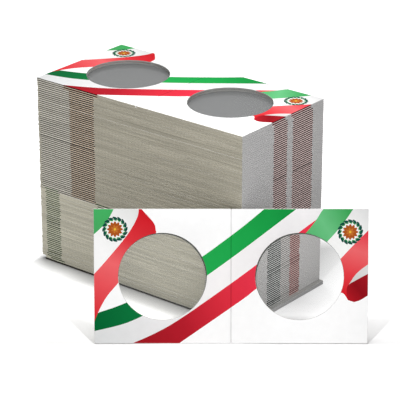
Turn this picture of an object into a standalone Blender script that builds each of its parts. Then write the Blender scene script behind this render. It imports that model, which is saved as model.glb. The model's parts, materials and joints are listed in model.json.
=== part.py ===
"""A pile of cardboard coin holders, with one more holder leaning on its front corner.

A holder is a card of two square leaves joined by a score line. Each leaf has a round window,
and a clear film is bonded behind the windows, so that a coin shows when one leaf is folded over
the other. The pile lies with the printed sides up, and the leaning holder shows its printed side.

Units are metres and +Z is up. X runs along the pile's long side and Y along its short side. The
origin is the middle of the pile's underside. In a holder's own frame X runs across the leaves, Y
runs up the score line, and +Z faces out of the printed side.
"""

import math

import bmesh
import bpy
from mathutils import Matrix, Vector

MM = 0.001
INCH = 25.4 * MM

# One holder, open and flat
LEAF_WIDTH = 2.0 * INCH  # from the score line to the card's end
LEAF_HEIGHT = 2.0 * INCH  # along the score line
BOARD_THICKNESS = 0.75 * MM
WINDOW_DIAMETER = 32.8 * MM
SCORE_GAP = 0.4 * MM  # between the two leaves, where the card is scored
FILM_THICKNESS = 0.035 * MM
FILM_MARGIN = 2.0 * MM  # bare board round the film
GLUE_GAP = 0.01 * MM  # between the board and its film
FOLD_CLEARANCE = 0.15 * MM  # from each film to the fold's axis

# The pile
HOLDER_AIR = 0.04 * MM  # between one holder and the next
UPPER_PAIRS = 27
LOWER_PAIRS = 19
PAIR_GROOVE = 0.5 * MM  # depth of the groove that parts the two holders of a pair
LOWEST_PAIR_SHIFT = 1.8 * MM  # the lowest pair sticks out this far at the pile's right end

# The holder that leans on the pile's front corner
FRONT_TURN = math.radians(38.7)  # about the vertical, from facing -Y towards +X
FRONT_LEAN = math.radians(14.5)  # back from upright
FRONT_SIDE_STEP = 3.9 * MM  # from the pile's corner, to the left, to the score line
FRONT_CLEARANCE = 0.2 * MM  # from the pile's corner to the board

# Facets
LEAF_WINDOW_SIDES = 64
PAIR_WINDOW_SIDES = 24
SMOOTH_UP_TO = math.radians(35)

# Worked out from the sizes above
CARD_LENGTH = 2 * LEAF_WIDTH
HOLDER_THICKNESS = BOARD_THICKNESS + GLUE_GAP + FILM_THICKNESS
HOLDER_PITCH = HOLDER_THICKNESS + HOLDER_AIR
PAIR_PITCH = 2 * HOLDER_PITCH
PAIR_HEIGHT = HOLDER_PITCH + HOLDER_THICKNESS
BOARD_BACK = GLUE_GAP + FILM_THICKNESS  # the film's back is at zero
FOLD_AXIS = -FOLD_CLEARANCE
TOP_HOLDER_Z = (LOWER_PAIRS + UPPER_PAIRS) * PAIR_PITCH


def remove_everything():
    for thing in list(bpy.data.objects):
        bpy.data.objects.remove(thing, do_unlink=True)


def make_material(name, colour, roughness, alpha=1.0):
    material = bpy.data.materials.new(name)
    material.use_nodes = True
    shader = material.node_tree.nodes["Principled BSDF"]
    shader.inputs["Base Color"].default_value = (*colour, 1.0)
    shader.inputs["Roughness"].default_value = roughness
    shader.inputs["Metallic"].default_value = 0.0
    shader.inputs["Alpha"].default_value = alpha
    return material


def add_empty(name, parent=None, matrix=None):
    """An empty marks the frame of a moving piece. It isn't a piece itself."""
    empty = bpy.data.objects.new(name, None)
    empty.empty_display_size = 5 * MM
    bpy.context.scene.collection.objects.link(empty)
    empty.parent = parent
    if matrix is not None:
        empty.matrix_local = matrix
    return empty


def add_piece(name, mesh, material, parent, location=(0, 0, 0)):
    piece = bpy.data.objects.new(name, mesh)
    bpy.context.scene.collection.objects.link(piece)
    if not mesh.materials:
        mesh.materials.append(material)
    piece.parent = parent
    piece.location = location
    return piece


def finish_mesh(bm, name):
    bmesh.ops.recalc_face_normals(bm, faces=bm.faces)
    mesh = bpy.data.meshes.new(name)
    bm.to_mesh(mesh)
    bm.free()
    mesh.shade_smooth()
    mesh.set_sharp_from_angle(angle=SMOOTH_UP_TO)
    return mesh


def draw_outline(bm, points, z):
    """Returns the edges of a closed outline in the plane at height z."""
    verts = [bm.verts.new((x, y, z)) for x, y in points]
    return [bm.edges.new((verts[i - 1], verts[i])) for i in range(len(verts))]


def rectangle_points(low, high):
    return [(low.x, low.y), (high.x, low.y), (high.x, high.y), (low.x, high.y)]


def circle_points(centre, radius, sides):
    angles = [2 * math.pi * i / sides for i in range(sides)]
    return [(centre.x + radius * math.cos(a), centre.y + radius * math.sin(a)) for a in angles]


def fill_flat(bm, edges):
    """Fills an outline and leaves the outlines inside it open."""
    bmesh.ops.triangle_fill(bm, use_beauty=True, edges=edges, normal=(0, 0, 1))


def move_new_verts(made, z):
    """Takes the verts that an extrusion made to height z, and returns them."""
    verts = {item for item in made if isinstance(item, bmesh.types.BMVert)}
    for vert in verts:
        vert.co.z = z
    return verts


def extrude_loop(bm, loop, z):
    """Draws a loop of edges straight to height z and returns the new loop."""
    made = bmesh.ops.extrude_edge_only(bm, edges=loop)["geom"]
    verts = move_new_verts(made, z)
    edges = [item for item in made if isinstance(item, bmesh.types.BMEdge)]
    return [edge for edge in edges if set(edge.verts) <= verts]


def plate_mesh(name, low, high, bottom, top, window=None):
    """A flat plate, with a hole where window gives its outline."""
    bm = bmesh.new()
    edges = draw_outline(bm, rectangle_points(low, high), top)
    if window is not None:
        edges += draw_outline(bm, window, top)
    fill_flat(bm, edges)
    made = bmesh.ops.extrude_face_region(bm, geom=bm.faces[:])["geom"]
    move_new_verts(made, bottom)
    return finish_mesh(bm, name)


def leaf_meshes(name, side):
    """The board and the film of one leaf, side being -1 for the left leaf and +1 for the right."""
    near = side * SCORE_GAP / 2
    far = side * LEAF_WIDTH
    low = Vector((min(near, far), 0))
    high = Vector((max(near, far), LEAF_HEIGHT))
    centre = Vector((side * LEAF_WIDTH / 2, LEAF_HEIGHT / 2))
    window = circle_points(centre, WINDOW_DIAMETER / 2, LEAF_WINDOW_SIDES)
    board = plate_mesh(name + "_board", low, high, BOARD_BACK, HOLDER_THICKNESS, window)
    margin_low = Vector((FILM_MARGIN if side < 0 else 0, FILM_MARGIN))
    margin_high = Vector((FILM_MARGIN if side > 0 else 0, FILM_MARGIN))
    film = plate_mesh(name + "_film", low + margin_low, high - margin_high, 0.0, FILM_THICKNESS)
    return board, film


def resize_loop(loop, half_length, half_width):
    """Moves the four corners of a rectangle round the origin to another size."""
    for vert in {vert for edge in loop for vert in edge.verts}:
        vert.co.x = math.copysign(half_length, vert.co.x)
        vert.co.y = math.copysign(half_width, vert.co.y)


def pair_mesh():
    """Two holders of the pile, joined inside their edges, with their windows closed by the film."""
    half = Vector((CARD_LENGTH / 2, LEAF_HEIGHT / 2))
    bm = bmesh.new()
    outline = draw_outline(bm, rectangle_points(-half, half), PAIR_HEIGHT)
    windows = []
    for side in (-1, 1):
        centre = Vector((side * LEAF_WIDTH / 2, 0))
        points = circle_points(centre, WINDOW_DIAMETER / 2, PAIR_WINDOW_SIDES)
        windows.append(draw_outline(bm, points, PAIR_HEIGHT))
    fill_flat(bm, outline + windows[0] + windows[1])
    for window in windows:
        floor = extrude_loop(bm, window, FILM_THICKNESS)
        bmesh.ops.contextual_create(bm, geom=floor)
    edge_levels = [
        (HOLDER_PITCH, 0),
        (HOLDER_PITCH, PAIR_GROOVE),
        (HOLDER_THICKNESS, PAIR_GROOVE),
        (HOLDER_THICKNESS, 0),
        (0, 0),
    ]
    for z, inset in edge_levels:
        outline = extrude_loop(bm, outline, z)
        resize_loop(outline, half.x - inset, half.y - inset)
    bmesh.ops.contextual_create(bm, geom=outline)
    return finish_mesh(bm, "holder_pair")


def add_pile(name, pairs, mesh, material, shift_of_lowest=0.0):
    """A pile of pairs on the empty that carries it, counted from the bottom."""
    pile = add_empty(name)
    for i in range(pairs):
        x = shift_of_lowest if i == 0 else 0.0
        add_piece(f"{name}_holders_{i + 1:02d}", mesh, material, pile, (x, 0, i * PAIR_PITCH))
    return pile


def add_open_holder(name, place, meshes, board_material, film_material):
    """A holder in detail: its left leaf on one empty, its right leaf on another at the fold's axis."""
    left = add_empty(name, matrix=place)
    right = add_empty(name + "_fold", parent=left, matrix=Matrix.Translation((0, 0, FOLD_AXIS)))
    for side, leaf, carrier, lift in ((-1, "left", left, 0.0), (1, "right", right, -FOLD_AXIS)):
        board, film = meshes[side]
        add_piece(f"{name}_{leaf}_board", board, board_material, carrier, (0, 0, lift))
        add_piece(f"{name}_{leaf}_film", film, film_material, carrier, (0, 0, lift))
    return left


def top_holder_place():
    return Matrix.Translation((0, -LEAF_HEIGHT / 2, TOP_HOLDER_Z))


def front_holder_place():
    """The leaning holder stands on the lower back edge of its board, which is at height zero."""
    corner = Vector((CARD_LENGTH / 2, -LEAF_HEIGHT / 2, 0))
    turn = Matrix.Rotation(FRONT_TURN, 4, "Z")
    lean = Matrix.Rotation(math.radians(90) - FRONT_LEAN, 4, "X")
    to_left = turn @ Vector((-1, 0, 0))
    to_front = turn @ Vector((0, -1, 0))
    reach = LEAF_HEIGHT * math.sin(FRONT_LEAN) + FRONT_CLEARANCE
    foot = corner + to_left * FRONT_SIDE_STEP + to_front * reach
    back_edge_to_origin = Matrix.Translation((0, 0, -BOARD_BACK))
    return Matrix.Translation(foot) @ turn @ lean @ back_edge_to_origin


def build():
    remove_everything()
    board_white = make_material("printed_board", (0.93, 0.93, 0.92), 0.45)
    board_edges = make_material("board_edges", (0.62, 0.60, 0.53), 0.85)
    clear_film = make_material("clear_film", (0.85, 0.87, 0.88), 0.08, alpha=0.35)
    pair = pair_mesh()
    add_pile("lower", LOWER_PAIRS, pair, board_edges, LOWEST_PAIR_SHIFT)
    upper = add_pile("upper", UPPER_PAIRS, pair, board_edges)
    upper.location.z = LOWER_PAIRS * PAIR_PITCH
    leaves = {side: leaf_meshes(leaf, side) for side, leaf in ((-1, "left"), (1, "right"))}
    add_open_holder("top_holder", top_holder_place(), leaves, board_white, clear_film)
    add_open_holder("front_holder", front_holder_place(), leaves, board_white, clear_film)
    bpy.context.view_layer.update()


build()
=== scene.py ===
# %% [markdown]
# A pile of cardboard coin holders, with one more holder leaning open on its front corner.
# A holder is a scored card with a round window in each half. A clear film is bonded behind the
# windows, so that a coin shows once one half is folded over the other.
# The frame below is the measured model: every piece here is made around it and never changes it.

import json
import math
import random

import bmesh
import bpy
import numpy as np
from mathutils import Matrix, Vector
from mathutils.geometry import delaunay_2d_cdt


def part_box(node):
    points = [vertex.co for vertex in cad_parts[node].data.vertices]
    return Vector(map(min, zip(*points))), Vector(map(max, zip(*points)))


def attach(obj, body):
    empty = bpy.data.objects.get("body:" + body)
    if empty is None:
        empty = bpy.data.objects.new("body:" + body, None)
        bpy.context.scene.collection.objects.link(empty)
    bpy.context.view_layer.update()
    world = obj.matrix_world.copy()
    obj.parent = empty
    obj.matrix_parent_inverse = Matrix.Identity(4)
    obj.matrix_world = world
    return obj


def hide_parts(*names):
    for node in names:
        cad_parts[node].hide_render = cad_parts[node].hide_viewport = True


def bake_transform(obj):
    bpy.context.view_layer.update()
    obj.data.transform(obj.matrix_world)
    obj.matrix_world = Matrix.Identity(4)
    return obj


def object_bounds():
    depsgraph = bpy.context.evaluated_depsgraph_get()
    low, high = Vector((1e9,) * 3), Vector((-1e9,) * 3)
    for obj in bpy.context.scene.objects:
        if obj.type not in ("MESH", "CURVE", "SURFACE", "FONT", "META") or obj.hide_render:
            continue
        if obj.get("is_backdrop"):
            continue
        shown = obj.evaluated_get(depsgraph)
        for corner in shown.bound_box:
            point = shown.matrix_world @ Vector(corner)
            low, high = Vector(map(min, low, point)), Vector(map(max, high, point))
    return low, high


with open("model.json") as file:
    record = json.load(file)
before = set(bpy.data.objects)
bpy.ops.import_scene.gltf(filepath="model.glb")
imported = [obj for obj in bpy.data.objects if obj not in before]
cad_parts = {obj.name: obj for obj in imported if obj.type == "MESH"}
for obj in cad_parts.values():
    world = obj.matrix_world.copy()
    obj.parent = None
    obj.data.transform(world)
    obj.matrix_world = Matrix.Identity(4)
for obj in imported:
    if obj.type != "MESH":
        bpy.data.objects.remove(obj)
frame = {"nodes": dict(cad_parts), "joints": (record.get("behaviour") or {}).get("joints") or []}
cad_low, cad_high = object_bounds()
MM = 0.001

# %% [markdown]
# All sizes come from the frame. The top holder lies flat, so the boxes of its left board and film
# give the leaf, the board's thickness and the film's. The window's radius is the shortest way from
# the leaf's middle to one of the board's corners in the mesh.

# %% Measure one holder
board_low, board_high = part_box("top_holder_left_board")
film_low, film_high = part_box("top_holder_left_film")
LEAF = board_high.y - board_low.y
SCORE = -2 * board_high.x
BOARD_BACK = board_low.z - film_low.z
BOARD_FRONT = board_high.z - film_low.z
FILM = film_high.z - film_low.z
FILM_MARGIN = film_low.y - board_low.y
board_points = [v.co for v in frame["nodes"]["top_holder_left_board"].data.vertices]
WINDOW = min(math.hypot(p.x + LEAF / 2, p.y) for p in board_points)
print(f"Leaf {LEAF / MM:.1f} mm, board {(BOARD_FRONT - BOARD_BACK) / MM:.2f} mm")
print(f"Window {2 * WINDOW / MM:.1f} mm across, film {FILM / MM:.3f} mm")

# %% [markdown]
# A printed holder is drawn in its own flat frame: X across the two leaves with the score line at
# zero, Y up the score line, Z out of the printed side. Two matrices then put that frame where the
# top holder lies and where the leaning one stands. The leaning one's axes are its joints' axes.

# %% Places of the two open holders
joints = {joint["name"]: joint for joint in frame["joints"]}
top_place = Matrix.Translation((0, board_low.y, film_low.z))
fold_drop = film_low.z - joints["top_holder_fold"]["pos_m"][2]


def leaning_place():
    up = Vector(joints["front_holder_fold"]["axis"])
    out = Vector(joints["front_holder_draw"]["axis"])
    foot = Vector(joints["front_holder_fold"]["pos_m"]) + out * fold_drop
    turn = Matrix((up.cross(out), up, out)).transposed()
    return Matrix.Translation(foot) @ turn.to_4x4()


front_place = leaning_place()
print("Leaning holder's foot:", [round(x / MM, 2) for x in front_place.translation])

# %% [markdown]
# The camera stands where the pile's corners and the leaning card's corners land on their places in
# the photograph. It looks down by 23 degrees along a line that is nearly square to the leaning card.

# %% Camera
CAMERA_AT = (0.48908, -0.59693, 0.36002)
CAMERA_AZIMUTH = math.radians(38.708)
CAMERA_ELEVATION = math.radians(23.122)
CAMERA_LENS = 191.2


def add_camera():
    camera = bpy.data.objects.new("camera", bpy.data.cameras.new("camera"))
    bpy.context.scene.collection.objects.link(camera)
    camera.location = CAMERA_AT
    camera.rotation_euler = (math.pi / 2 - CAMERA_ELEVATION, 0, CAMERA_AZIMUTH)
    camera.data.lens = CAMERA_LENS
    camera.data.sensor_width = 36
    camera.data.clip_start = 0.01
    camera.data.clip_end = 20
    bpy.context.scene.camera = camera
    return camera


camera = add_camera()
print("Camera looks along", [round(x, 3) for x in camera.rotation_euler])

# %% [markdown]
# Colours are written as the eye reads them, from 0 to 255, and turned into the linear values that
# Blender's sockets hold.

# %% Colours
def colour(red, green, blue):
    levels = [c / 255 for c in (red, green, blue)]
    return tuple(c / 12.92 if c <= 0.04045 else ((c + 0.055) / 1.055) ** 2.4 for c in levels) + (1.0,)


print("Paper white is", [round(c, 3) for c in colour(247, 247, 246)[:3]])

# %% [markdown]
# A finish is a small tree of nodes. It could be wired by hand in the shader editor. In a script it
# reads best when each helper adds one node and takes numbers or other nodes' outputs, so that a
# finish below is a few lines of sums.

# %% Material and arithmetic nodes
NUMBER_STEPS = ("DISTANCE", "DOT_PRODUCT")


def new_material(name, roughness):
    material = bpy.data.materials.new(name)
    material.use_nodes = True
    shader = material.node_tree.nodes["Principled BSDF"]
    shader.inputs["Roughness"].default_value = roughness
    return material, material.node_tree, shader


def add_node(tree, kind, links=(), **settings):
    node = tree.nodes.new(kind)
    for key, value in settings.items():
        setattr(node, key, value)
    for socket, value in dict(links).items():
        if isinstance(value, bpy.types.NodeSocket):
            tree.links.new(value, node.inputs[socket])
        else:
            node.inputs[socket].default_value = value
    return node


def math_node(tree, operation, first, second=0.0, third=0.0):
    links = {0: first, 1: second, 2: third}
    return add_node(tree, "ShaderNodeMath", links, operation=operation).outputs[0]


def vector_node(tree, operation, first, second=(0, 0, 0)):
    """A step of vector arithmetic, which gives a number or a vector."""
    node = add_node(tree, "ShaderNodeVectorMath", {0: first, 1: second}, operation=operation)
    return node.outputs["Value" if operation in NUMBER_STEPS else "Vector"]


def span(tree, value, low, high, to_low, to_high):
    """Moves a value from one range to another and holds it at the ends."""
    links = {"Value": value, "From Min": low, "From Max": high, "To Min": to_low, "To Max": to_high}
    return add_node(tree, "ShaderNodeMapRange", links).outputs["Result"]


print("Vector steps that give a number:", *NUMBER_STEPS)

# %% [markdown]
# Board, ink and film are never quite even. A noise texture gives that unevenness without a picture.
# Its value mostly stays near a half, so it is spread from there over the range that a finish needs.

# %% Noise, mixed colours and bump
NOISE_WIDTH = 0.2


def noise(tree, place, scale, detail=3.0, roughness=0.5):
    links = {"Vector": place, "Scale": scale, "Detail": detail, "Roughness": roughness}
    return add_node(tree, "ShaderNodeTexNoise", links).outputs["Fac"]


def vary(tree, value, low, high, width=NOISE_WIDTH):
    """Spreads a noise, which mostly stays within the width of a half, from low to high."""
    return span(tree, value, 0.5 - width, 0.5 + width, low, high)


def ramp(tree, factor, stops):
    """A colour ramp through (position, colour) stops."""
    node = add_node(tree, "ShaderNodeValToRGB", {"Fac": factor})
    elements = node.color_ramp.elements
    while len(elements) < len(stops):
        elements.new(0.5)
    for element, (position, value) in zip(elements, stops):
        element.position = position
        element.color = value
    return node.outputs["Color"]


def mix_colours(tree, factor, first, second):
    links = {"Factor": factor, 6: first, 7: second}
    return add_node(tree, "ShaderNodeMix", links, data_type="RGBA").outputs[2]


def tint(tree, base, factor):
    """Base colour times a grey factor."""
    node = add_node(tree, "ShaderNodeVectorMath", {0: base, "Scale": factor}, operation="SCALE")
    return node.outputs["Vector"]


def bump(tree, shader, height, distance, strength):
    links = {"Height": height, "Distance": distance, "Strength": strength}
    node = add_node(tree, "ShaderNodeBump", links)
    tree.links.new(node.outputs["Normal"], shader.inputs["Normal"])


print("A noise mostly stays between", 0.5 - NOISE_WIDTH, "and", 0.5 + NOISE_WIDTH)

# %% [markdown]
# The card is solid board with a coated white face. The print on it is satin: the ink lies in the
# coating, so every printed colour shares one gloss and one fine tooth, and only its colour changes.
# Each ribbon colour shades from stop to stop along a line on the card, which makes it look curled.
# The place on the card is stored on the mesh, so the shading stays with the card when it moves.

# %% The finish of a printed colour
INK_PLACE = "card_place"  # kept on each point of a card: its place on the card, in millimetres
CREASE = "card_crease"  # and how deep it lies in the score, from 0 to 1
# painted shade: how much darker the print is painted where it lies down in the score
CREASE_SHADE = 0.3
TOOTH = 5200.0  # the coating's grain, per metre
MOTTLE = 340.0  # the ink's slow unevenness, per metre
INK_GLOSS = 0.005


def printed_finish(name, start, end, stops):
    material, tree, shader = new_material(name, 0.42)
    place = add_node(tree, "ShaderNodeAttribute", attribute_name=INK_PLACE).outputs["Vector"]
    way = Vector((*end, 0)) - Vector((*start, 0))
    offset = vector_node(tree, "SUBTRACT", place, (*start, 0))
    along = vector_node(tree, "DOT_PRODUCT", offset, way / way.length_squared)
    base = ramp(tree, along, stops)
    mottle = vary(tree, noise(tree, place, MOTTLE * MM), 0.985, 1.015)
    # painted shade of the score's groove
    crease = add_node(tree, "ShaderNodeAttribute", attribute_name=CREASE).outputs["Fac"]
    shade = math_node(tree, "MULTIPLY", mottle, span(tree, crease, 0, 1, 1, 1 - CREASE_SHADE))
    tree.links.new(tint(tree, base, shade), shader.inputs["Base Color"])
    tooth = noise(tree, place, TOOTH * MM, 2.0)
    tree.links.new(vary(tree, tooth, 0.36, 0.5, width=0.3), shader.inputs["Roughness"])
    shader.inputs["Specular IOR Level"].default_value = INK_GLOSS
    bump(tree, shader, tooth, 0.01 * MM, 0.25)
    return material


print("Grains of the coating in a millimetre:", TOOTH * MM)

# %% [markdown]
# A ribbon that curls turns to and from the light, so its red runs from deep to pale and back. Flat
# colours would make it look like cut paper. Two to five stops along a line are enough to shade it.

# %% The printed colours
WHOLE_CARD = ((-50, 0), (50, 50))
# finish: (where its line starts, where it ends, [(share of the way, colour)]), in millimetres
PRINT_STOPS = {
    "stock_white": (*WHOLE_CARD, [(0, (252, 252, 252)), (1, (253, 253, 253))]),
    "corner_green": ((-50, 42), (-45, 51), [(0, (72, 166, 96)), (1, (66, 174, 96))]),
    "left_white": (
        (-48, 36),
        (-36, 51),
        [(0, (249, 249, 248)), (0.55, (240, 240, 239)), (1, (224, 225, 223))],
    ),
    "left_red": (
        (-50.5, 8),
        (-31, 50),
        [(0, (214, 34, 44)), (0.3, (232, 82, 88)), (0.5, (239, 104, 108)),
         (0.72, (220, 54, 62)), (1, (203, 24, 36))],
    ),
    "dark_green": ((-50, 6), (-34, 14), [(0, (6, 98, 50)), (1, (14, 116, 60))]),
    "pale_band": (
        (-46, 2),
        (20, 44),
        [(0, (222, 223, 223)), (0.3, (234, 233, 234)), (0.6, (247, 244, 244)), (1, (238, 236, 237))],
    ),
    "bottom_red": (
        (-34, 1),
        (9, 26),
        [(0, (158, 24, 34)), (0.35, (178, 30, 44)), (0.7, (216, 46, 62)), (1, (232, 54, 76))],
    ),
    "middle_green": ((-9, 30), (22, 50), [(0, (35, 167, 79)), (0.5, (30, 162, 74)), (1, (22, 141, 63))]),
    "curl_green": ((28, 40), (43, 50), [(0, (84, 180, 110)), (0.45, (106, 192, 130)), (1, (60, 160, 86))]),
    "right_white": (
        (37, 33),
        (49, 50),
        [(0, (247, 247, 246)), (0.6, (243, 243, 242)), (1, (221, 221, 221))],
    ),
    "right_red": (
        (42, 17),
        (49, 42),
        [(0, (208, 22, 34)), (0.35, (226, 60, 68)), (0.72, (236, 104, 108)), (1, (226, 60, 74))],
    ),
    "right_sliver": ((43, 23), (51, 28), [(0, (206, 202, 200)), (1, (222, 220, 219))]),
    "dark_red": ((43, 18), (51, 24), [(0, (176, 26, 36)), (0.5, (142, 18, 28)), (1, (160, 24, 34))]),
    "flower_rust": (*WHOLE_CARD, [(0, (168, 84, 32)), (1, (172, 86, 34))]),
    "flower_amber": (*WHOLE_CARD, [(0, (192, 112, 46)), (1, (196, 114, 48))]),
    "flower_gold": (*WHOLE_CARD, [(0, (232, 190, 62)), (1, (232, 190, 62))]),
    "leaf_dark": (*WHOLE_CARD, [(0, (18, 74, 62)), (1, (20, 78, 64))]),
    "leaf_light": (*WHOLE_CARD, [(0, (64, 150, 78)), (1, (66, 152, 80))]),
}


def make_printed_finishes():
    finishes = {}
    for name, (start, end, stops) in PRINT_STOPS.items():
        shades = [(position, colour(*shade)) for position, shade in stops]
        finishes[name] = printed_finish(name, start, end, shades)
    return finishes


finishes = make_printed_finishes()
print("Printed finishes:", len(finishes))

# %% [markdown]
# The print is a plain ribbon in green, white and red that runs up across both leaves and curls at
# its ends. A printer would draw it as flat shapes, and so does this file: each shape is an outline
# of a few points with a smooth curve through them, in millimetres on the card. Later shapes lie
# over earlier ones, and a shape may run past the card's edge or into a window, where it is cut.

# %% Curves for the print
SPAN_STEPS = 7
PETAL_TAPER = 0.25  # how much narrower a petal is at its outer half
LEAF_SLANT = math.radians(64)  # from the way that leads outwards


def curve(points):
    """A smooth line through the points (a Catmull-Rom spline), as a list of points."""
    ends = [2 * Vector(points[0]) - Vector(points[1]), 2 * Vector(points[-1]) - Vector(points[-2])]
    held = [ends[0], *map(Vector, points), ends[1]]
    line = []
    for a, b, c, d in zip(held, held[1:], held[2:], held[3:]):
        for i in range(SPAN_STEPS):
            t = i / SPAN_STEPS
            straight = 2 * b + (c - a) * t
            bent = (2 * a - 5 * b + 4 * c - d) * t**2
            twisted = (3 * b - a - 3 * c + d) * t**3
            line.append(0.5 * (straight + bent + twisted))
    return [tuple(p) for p in line] + [tuple(held[-2])]


def between(low_line, high_line):
    """The outline of a band between two smooth lines drawn the same way."""
    return curve(low_line) + curve(high_line)[::-1]


def petal(centre, angle, reach, length, width, sides=10):
    """A pointed oval whose middle lies at a reach from the centre, turned to an angle."""
    outline = []
    for i in range(sides):
        a = 2 * math.pi * i / sides
        along = reach + length / 2 * math.cos(a)
        across = width / 2 * math.sin(a) * (1 - PETAL_TAPER * math.cos(a))
        x = centre[0] + along * math.cos(angle) - across * math.sin(angle)
        y = centre[1] + along * math.sin(angle) + across * math.cos(angle)
        outline.append((x, y))
    return outline


def leaf_of_wreath(centre, angle, reach, length, width, sides=8):
    """A small leaf that lies along a ring round the centre."""
    x = centre[0] + reach * math.cos(angle)
    y = centre[1] + reach * math.sin(angle)
    return petal((x, y), angle + LEAF_SLANT, 0, length, width, sides)


print("A curve through 3 points has", len(curve([(0, 0), (1, 1), (2, 0)])), "points")

# %% [markdown]
# The ribbon's white stretches carry a small plain rosette, rust petals in a wreath of green leaves,
# as stationery ribbons often do. It is one function of its centre, used at both ends of the card.

# %% The rosette
# (finish, how many round the middle, reach, length, width)
ROSETTE_RINGS = [
    ("leaf_light", 16, 3.55, 1.5, 0.6),
    ("leaf_dark", 16, 4.15, 2.1, 1.0),
    ("flower_rust", 12, 1.75, 2.5, 1.3),
    ("flower_amber", 7, 0.95, 1.3, 0.75),
]
HEART_SIZE = 0.9
LEFT_ROSETTE = (-42.9, 43.2)
RIGHT_ROSETTE = (44.0, 42.2)


def rosette(centre):
    shapes = []
    for name, count, reach, length, width in ROSETTE_RINGS:
        draw = leaf_of_wreath if name.startswith("leaf") else petal
        for i in range(count):
            shapes.append((name, draw(centre, 2 * math.pi * i / count, reach, length, width)))
    shapes.append(("flower_gold", petal(centre, 0, 0, HEART_SIZE, HEART_SIZE)))
    return shapes


print("Shapes in a rosette:", len(rosette((0, 0))))

# %% [markdown]
# The main print. The falling red and the dark green make the curl on the left, three straight bands
# cross the fold, and the light green, the white and the two reds make the curl on the right.

# %% The main print's shapes
RIBBON_PRINT = [
    ("dark_green", between(
        [(-53, 4.4), (-50.8, 4.8), (-43.9, 6.0), (-38.3, 8.1), (-32.8, 10.6), (-27, 14)],
        [(-53, 9.6), (-49.4, 11.7), (-43.9, 13.6), (-38.9, 15.6), (-32, 19)],
    )),
    ("pale_band", between(
        [(-53, -3), (-44, -3), (-37.1, 0), (-28.6, 3.8), (-18.5, 9.7), (3.6, 25.5), (24.5, 41.6), (34, 49)],
        [(-53, 4.4), (-50.8, 4.8), (-38.3, 8.1), (-27, 14), (-8.8, 25.9), (3.6, 35), (24, 50.7), (31, 57)],
    )),
    ("middle_green", between(
        [(-20, 18), (-8.8, 25.9), (3.6, 35), (24, 50.7), (29, 54.6)],
        [(-22, 25.5), (-10.8, 32.8), (3.6, 43.6), (12.1, 50.7), (16, 54)],
    )),
    ("bottom_red", between(
        [(-22, -1.6), (-19.5, 0), (3.6, 16.3), (9.1, 20.6), (27.2, 34.4), (32, 38.5)],
        [(-40, -1.2), (-37.1, 0), (-28.6, 3.8), (-18.5, 9.7), (3.6, 25.5), (24.5, 41.6), (33, 48)],
    )),
    ("left_white", between(
        [(-53, 44), (-50.8, 41.2), (-47.9, 43.9), (-45.3, 47.1), (-43.3, 50.8), (-42.4, 53)],
        [(-53, 24), (-50.8, 26.3), (-45.1, 32.8), (-38.3, 41.2), (-34.5, 48.1), (-34.2, 53)],
    )),
    ("corner_green", curve(
        [(-53, 39.4), (-50.8, 41.2), (-47.9, 43.9), (-45.3, 47.1), (-43.3, 50.8), (-42.4, 53)]
    ) + [(-53, 53)]),
    ("left_red", between(
        [(-53, 24), (-50.8, 26.3), (-45.1, 32.8), (-38.3, 41.2), (-34.5, 48.1), (-34.2, 53)],
        [(-51.6, 5), (-50.6, 8.7), (-49.4, 11.7), (-46.4, 17.4), (-41.9, 22.9), (-34, 32),
         (-28.3, 40.6), (-27.9, 43.2), (-28.8, 45.9), (-33.4, 51.2), (-33.8, 53)],
    )),
    ("curl_green", between(
        [(36.8, 54), (33.9, 50.7), (30.8, 45.8), (27.2, 41.4), (20, 34)],
        [(47.2, 54), (45, 50.7), (42.6, 47.1), (38.9, 42.3), (35.5, 38.5), (28, 31)],
    )),
    ("right_white", between(
        [(47.2, 54), (45, 50.7), (42.6, 47.1), (38.9, 42.3), (35.5, 38.5), (30, 32)],
        [(58, 50), (50.8, 42.9), (45.6, 37.6), (40.7, 32.3), (36, 27.5)],
    )),
    ("right_red", curve([(53, 45), (50.8, 42.9), (45.6, 37.6), (40.7, 32.3), (34, 25)])
        + curve([(36, 18), (41.1, 19.3), (43.5, 16.5)])
        + curve([(43.6, 22.3), (46.5, 26.6), (50.8, 30.1), (53, 31.6)])),
    ("right_sliver", between(
        [(43.6, 22.3), (46.5, 26.6), (50.8, 30.1), (53, 31.6)],
        [(43.4, 22.1), (46.6, 24.2), (50.8, 26.5), (53, 27.6)],
    )),
    ("dark_red", curve([(53, 27.6), (50.8, 26.5), (46.6, 24.2), (43.4, 22.1), (42.9, 19.4), (43.5, 16.5)])
        + curve([(45.6, 15.8), (47.9, 16.5), (50.8, 18.3), (53, 19.6)])),
    *rosette(LEFT_ROSETTE),
    *rosette(RIGHT_ROSETTE),
]
print("Shapes in the main print:", len(RIBBON_PRINT))

# %% [markdown]
# The lower pile holds cards of another print: the coloured marks on its sides stand at other places.
# A ribbon in the same colours dips over the front edge and leaves at the right, which gives just
# those marks. It shows when the upper pile is lifted off.

# %% The second print's shapes
DIP_EDGES = [
    [(-53, 8.6), (-48.3, 0), (-41, -6), (-24, -6), (-14.2, 0),
     (8, 10.4), (30, 14.4), (50.8, 16.2), (54, 16.4)],
    [(-53, 13.6), (-46.4, 5), (-40.8, 0), (-34, -2.4), (-28.4, -2.4), (-21.8, 0),
     (-4, 10.4), (22, 19.6), (50.8, 24.7), (54, 25.2)],
    [(-53, 21.6), (-45, 11.8), (-37, 6.2), (-26, 6.2), (-12, 13),
     (10, 22.6), (30, 27.6), (50.8, 30.6), (54, 31)],
    [(-53, 28), (-44, 18), (-36, 12.8), (-26, 12.8), (-13, 19.4),
     (8, 29), (30, 34.2), (50.8, 36.9), (54, 37.4)],
]
DIP_PRINT = [
    ("middle_green", between(DIP_EDGES[0], DIP_EDGES[1])),
    ("pale_band", between(DIP_EDGES[1], DIP_EDGES[2])),
    ("bottom_red", between(DIP_EDGES[2], DIP_EDGES[3])),
]
print("Shapes in the second print:", len(DIP_PRINT))

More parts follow.
